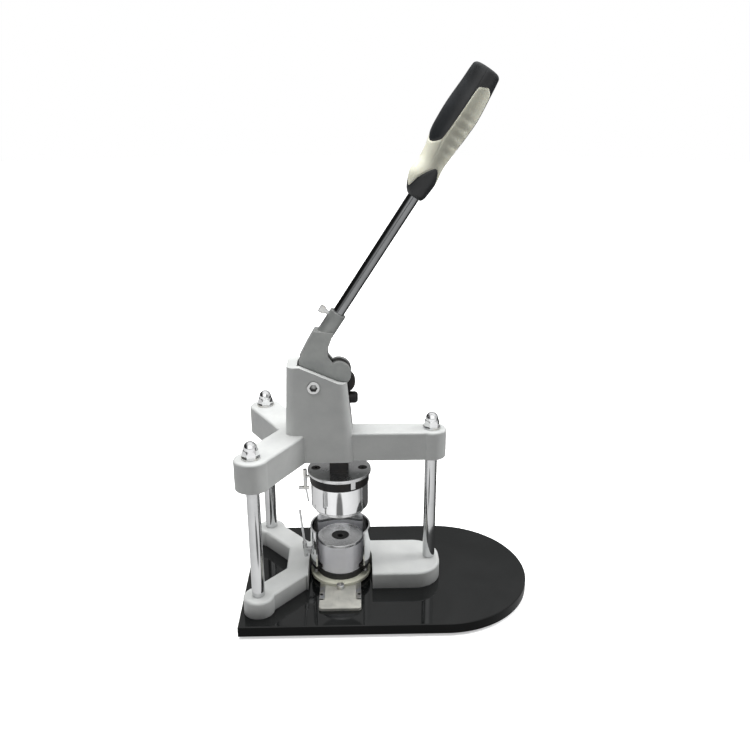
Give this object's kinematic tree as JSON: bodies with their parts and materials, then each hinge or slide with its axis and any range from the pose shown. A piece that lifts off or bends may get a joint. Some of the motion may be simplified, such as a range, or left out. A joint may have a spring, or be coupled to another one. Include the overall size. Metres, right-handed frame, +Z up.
{
  "type": "button badge maker",
  "caption": "Bench lever press with three posts, a telescoping die pair, a die that slides out to the front, and a rounded black board.",
  "frame": {"origin": "on the press axis at table level, under the feet", "axes": "+Z up along the press axis, +X towards the rounded end of the board, -Y towards the operator"},
  "size_m": [0.2795, 0.175, 0.4956],
  "materials": {
    "board_gloss": "polished",
    "rubber": "matt",
    "cast_silver": "satin silver",
    "chrome": "polished",
    "zinc": "zinc plated",
    "black_steel": "black oxide",
    "bronze": "turned",
    "cream_paint": "satin cream",
    "grip_cream": "moulded",
    "grip_black": "soft touch",
    "machined_steel": "turned",
    "cast_hub": "sand cast"
  },
  "bodies": {
    "frame": {"base_board": "board_gloss", "rubber_feet": "rubber", "base_casting": "cast_silver", "post_bolts": "black_steel", "post_right": "chrome", "post_left_front": "chrome", "post_left_rear": "chrome", "head_casting": "cast_silver", "post_washers": "zinc", "acorn_nuts": "chrome", "pivot_pin": "zinc", "pivot_circlip": "black_steel", "slide_rails": "zinc", "rail_screws": "black_steel"},
    "lever": {"lever_hub": "cast_hub", "hub_bushes": "bronze", "crank_pin": "machined_steel", "lever_rod": "chrome", "grip_core": "grip_cream", "grip_upper_skin": "grip_black", "grip_lower_skin": "grip_black"},
    "roller": {"crank_roller": "machined_steel"},
    "thumbscrew": {"lever_thumbscrew": "zinc"},
    "ram": {"ram": "black_steel", "ram_yoke": "black_steel", "yoke_cross_pin": "machined_steel", "stop_screw": "black_steel", "upper_flange": "machined_steel", "flange_screws": "black_steel", "upper_cup": "chrome", "cup_gib": "machined_steel", "collar_stop": "machined_steel", "upper_punch": "machined_steel", "die_bolt": "black_steel"},
    "collar": {"selector_collar": "black_steel", "selector_pin": "zinc"},
    "die_carriage": {"die_slide": "cream_paint", "die_seat_disc": "cream_paint", "seat_lock_screw": "zinc", "seat_bolt": "zinc", "bumper_ring": "rubber", "pedestal": "chrome", "pedestal_cap": "machined_steel", "pedestal_plug": "rubber", "skirt_springs": "machined_steel"},
    "skirt": {"skirt_ring": "black_steel", "skirt": "chrome", "trip_rod": "machined_steel"}
  },
  "joints": [
    {"name": "lever_swing", "type": "hinge", "parent": "frame", "child": "lever", "pos_m": [-0.0218, 0, 0.2182], "axis": [0, 1, 0], "range_deg": [0, 60]},
    {"name": "ram_travel", "type": "slide", "parent": "frame", "child": "ram", "axis": [0, 0, -1], "range_m": [0, 0.025]},
    {"name": "roller_spin", "type": "hinge", "parent": "lever", "child": "roller", "pos_m": [0.0011, 0, 0.2285], "axis": [0, 1, 0], "continuous": true},
    {"name": "thumbscrew_turn", "type": "hinge", "parent": "lever", "child": "thumbscrew", "pos_m": [-0.00122, 0, 0.2798], "axis": [-0.8396, 0, 0.5432], "continuous": true},
    {"name": "collar_turn", "type": "hinge", "parent": "ram", "child": "collar", "pos_m": [0, 0, 0.119], "axis": [0, 0, 1], "range_deg": [0, 25]},
    {"name": "die_slide_out", "type": "slide", "parent": "frame", "child": "die_carriage", "axis": [0, -1, 0], "range_m": [0, 0.062]},
    {"name": "skirt_float", "type": "slide", "parent": "die_carriage", "child": "skirt", "axis": [0, 0, -1], "range_m": [0, 0.0012], "stiffness_N_per_m": 3000, "deforming": ["skirt_springs"]}
  ],
  "couplings": [
    {"joint": "ram_travel", "follows": "lever_swing", "m_per_rad": 0.02384}
  ]
}
